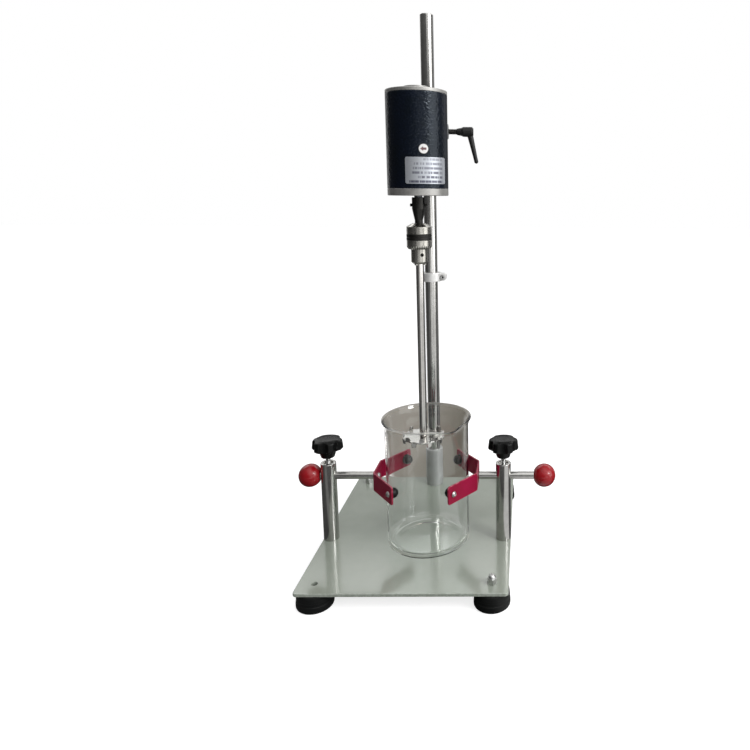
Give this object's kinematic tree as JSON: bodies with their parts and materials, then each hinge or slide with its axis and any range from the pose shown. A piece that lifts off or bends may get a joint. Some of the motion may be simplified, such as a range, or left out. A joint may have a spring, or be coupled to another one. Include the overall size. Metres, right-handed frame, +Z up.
{
  "type": "high-speed disperser",
  "caption": "Bench disperser: a motor head clamped to a column over a base plate, with a key chuck, a toothed disc on a shaft, and a glass beaker held by sliding brackets.",
  "frame": {"origin": "on the bench under the middle of the object, in line with the beaker axis from left to right", "axes": "+X to the right as the operator sees it, +Y to the back where the column stands, +Z up"},
  "size_m": [0.3382, 0.31, 0.736],
  "materials": {
    "plate_paint": "pale grey-green gloss paint",
    "black_rubber": "moulded black rubber",
    "stainless": "drawn and brushed stainless steel",
    "zinc_steel": "zinc plated steel",
    "chuck_steel": "ground and polished steel",
    "black_steel": "blackened steel",
    "red_ball": "glossy red phenolic",
    "crimson_paint": "crimson gloss paint on sheet steel",
    "black_plastic": "moulded black plastic",
    "clear_glass": "clear borosilicate glass",
    "cast_grey": "grey satin cast aluminium",
    "socket_grey": "dull turned aluminium",
    "shell_black": "blue-black wrinkle paint",
    "label_silver": "satin silver foil",
    "label_white": "white gloss disc",
    "ferrite": "ground ferrite",
    "phenolic": "brown phenolic board",
    "carbon": "pressed carbon",
    "bearing_steel": "ground bearing steel",
    "core_steel": "stacked steel sheets",
    "copper": "varnished copper wire",
    "bronze": "sintered bronze"
  },
  "bodies": {
    "base": {"base_plate": "plate_paint", "cap_nuts": "stainless", "plate_screws": "zinc_steel", "post_left": "stainless", "post_right": "stainless", "column": "stainless", "column_socket": "socket_grey"},
    "foot_front_left": {"foot_front_left": "black_rubber"},
    "foot_front_right": {"foot_front_right": "black_rubber"},
    "foot_rear_left": {"foot_rear_left": "black_rubber"},
    "foot_rear_right": {"foot_rear_right": "black_rubber"},
    "rod_left": {"rod_left": "stainless", "ball_knob_left": "red_ball", "bracket_left": "crimson_paint", "bracket_screws_left": "zinc_steel", "bumpers_left": "black_rubber"},
    "star_knob_left": {"star_knob_left": "black_plastic", "lock_screw_left": "stainless"},
    "rod_right": {"rod_right": "stainless", "ball_knob_right": "red_ball", "bracket_right": "crimson_paint", "bracket_screws_right": "zinc_steel", "bumpers_right": "black_rubber"},
    "star_knob_right": {"star_knob_right": "black_plastic", "lock_screw_right": "stainless"},
    "stop_collar": {"stop_collar": "stainless", "stop_collar_screw": "black_steel"},
    "vessel": {"beaker": "clear_glass"},
    "head_bush": {"column_bush": "bronze"},
    "head": {"clamp_arm": "cast_grey", "saddle_screws": "black_steel", "motor_shell": "shell_black", "top_cap": "cast_grey", "bottom_cap": "cast_grey", "tie_bolts": "zinc_steel", "nameplate": "label_silver", "rotation_mark": "label_white", "magnets": "ferrite", "brush_plate": "phenolic", "brushes": "carbon", "upper_bearing": "bearing_steel", "lower_bearing": "bearing_steel"},
    "clamp_lever": {"clamp_lever": "black_plastic", "lever_stud": "black_steel"},
    "spindle": {"motor_shaft": "zinc_steel", "armature_core": "core_steel", "armature_winding": "copper", "commutator": "copper", "cooling_fan": "black_plastic", "chuck_adapter": "black_steel", "set_screws": "zinc_steel", "chuck_body": "chuck_steel", "stir_shaft": "stainless", "disperser_disc": "stainless", "disc_nut": "stainless"},
    "chuck_sleeve": {"chuck_sleeve": "chuck_steel", "chuck_ring": "black_steel"},
    "chuck_jaw_1": {"chuck_jaw_1": "chuck_steel"},
    "chuck_jaw_2": {"chuck_jaw_2": "chuck_steel"},
    "chuck_jaw_3": {"chuck_jaw_3": "chuck_steel"}
  },
  "joints": [
    {"name": "foot_front_left_turn", "type": "hinge", "parent": "base", "child": "foot_front_left", "pos_m": [-0.12, -0.132, 0.011], "axis": [0, 0, 1], "range_deg": [-180, 180]},
    {"name": "foot_front_right_turn", "type": "hinge", "parent": "base", "child": "foot_front_right", "pos_m": [0.09, -0.132, 0.011], "axis": [0, 0, 1], "range_deg": [-180, 180]},
    {"name": "foot_rear_left_turn", "type": "hinge", "parent": "base", "child": "foot_rear_left", "pos_m": [-0.12, 0.132, 0.011], "axis": [0, 0, 1], "range_deg": [-180, 180]},
    {"name": "foot_rear_right_turn", "type": "hinge", "parent": "base", "child": "foot_rear_right", "pos_m": [0.09, 0.132, 0.011], "axis": [0, 0, 1], "range_deg": [-180, 180]},
    {"name": "rod_left_slide", "type": "slide", "parent": "base", "child": "rod_left", "axis": [-1, 0, 0], "range_m": [0, 0.05]},
    {"name": "star_knob_left_turn", "type": "hinge", "parent": "base", "child": "star_knob_left", "pos_m": [-0.13, -0.0315, 0.147], "axis": [0, 0, 1], "range_deg": [0, 720]},
    {"name": "rod_right_slide", "type": "slide", "parent": "base", "child": "rod_right", "axis": [1, 0, 0], "range_m": [0, 0.021]},
    {"name": "star_knob_right_turn", "type": "hinge", "parent": "base", "child": "star_knob_right", "pos_m": [0.1, -0.0315, 0.147], "axis": [0, 0, 1], "range_deg": [0, 720]},
    {"name": "stop_collar_slide", "type": "slide", "parent": "base", "child": "stop_collar", "axis": [0, 0, 1], "range_m": [-0.26, 0.165]},
    {"name": "vessel_lift", "type": "slide", "parent": "base", "child": "vessel", "axis": [0, 0, 1], "range_m": [0, 0.09]},
    {"name": "head_height", "type": "slide", "parent": "base", "child": "head_bush", "axis": [0, 0, 1], "range_m": [-0.11, 0.125]},
    {"name": "head_swivel", "type": "hinge", "parent": "head_bush", "child": "head", "pos_m": [-0.015, 0.134, 0.573], "axis": [0, 0, 1], "range_deg": [-5, 9]},
    {"name": "clamp_lever_turn", "type": "hinge", "parent": "head", "child": "clamp_lever", "pos_m": [-0.015, 0.134, 0.573], "axis": [0.998, 0.0639, 0], "range_deg": [0, 120]},
    {"name": "spindle_spin", "type": "hinge", "parent": "head", "child": "spindle", "pos_m": [-0.0045, -0.03, 0.5], "axis": [0, 0, 1], "continuous": true},
    {"name": "chuck_sleeve_turn", "type": "hinge", "parent": "spindle", "child": "chuck_sleeve", "pos_m": [-0.0045, -0.03, 0.42], "axis": [0, 0, -1], "range_deg": [0, 720]},
    {"name": "chuck_jaw_1_travel", "type": "slide", "parent": "spindle", "child": "chuck_jaw_1", "axis": [0.1044, -0.0061, 0.9945], "range_m": [0, 0.003]},
    {"name": "chuck_jaw_2_travel", "type": "slide", "parent": "spindle", "child": "chuck_jaw_2", "axis": [-0.0469, 0.0934, 0.9945], "range_m": [0, 0.003]},
    {"name": "chuck_jaw_3_travel", "type": "slide", "parent": "spindle", "child": "chuck_jaw_3", "axis": [-0.0574, -0.0873, 0.9945], "range_m": [0, 0.003]}
  ],
  "couplings": [
    {"joint": "chuck_jaw_1_travel", "follows": "chuck_sleeve_turn", "m_per_rad": 0.0002387},
    {"joint": "chuck_jaw_2_travel", "follows": "chuck_sleeve_turn", "m_per_rad": 0.0002387},
    {"joint": "chuck_jaw_3_travel", "follows": "chuck_sleeve_turn", "m_per_rad": 0.0002387}
  ]
}
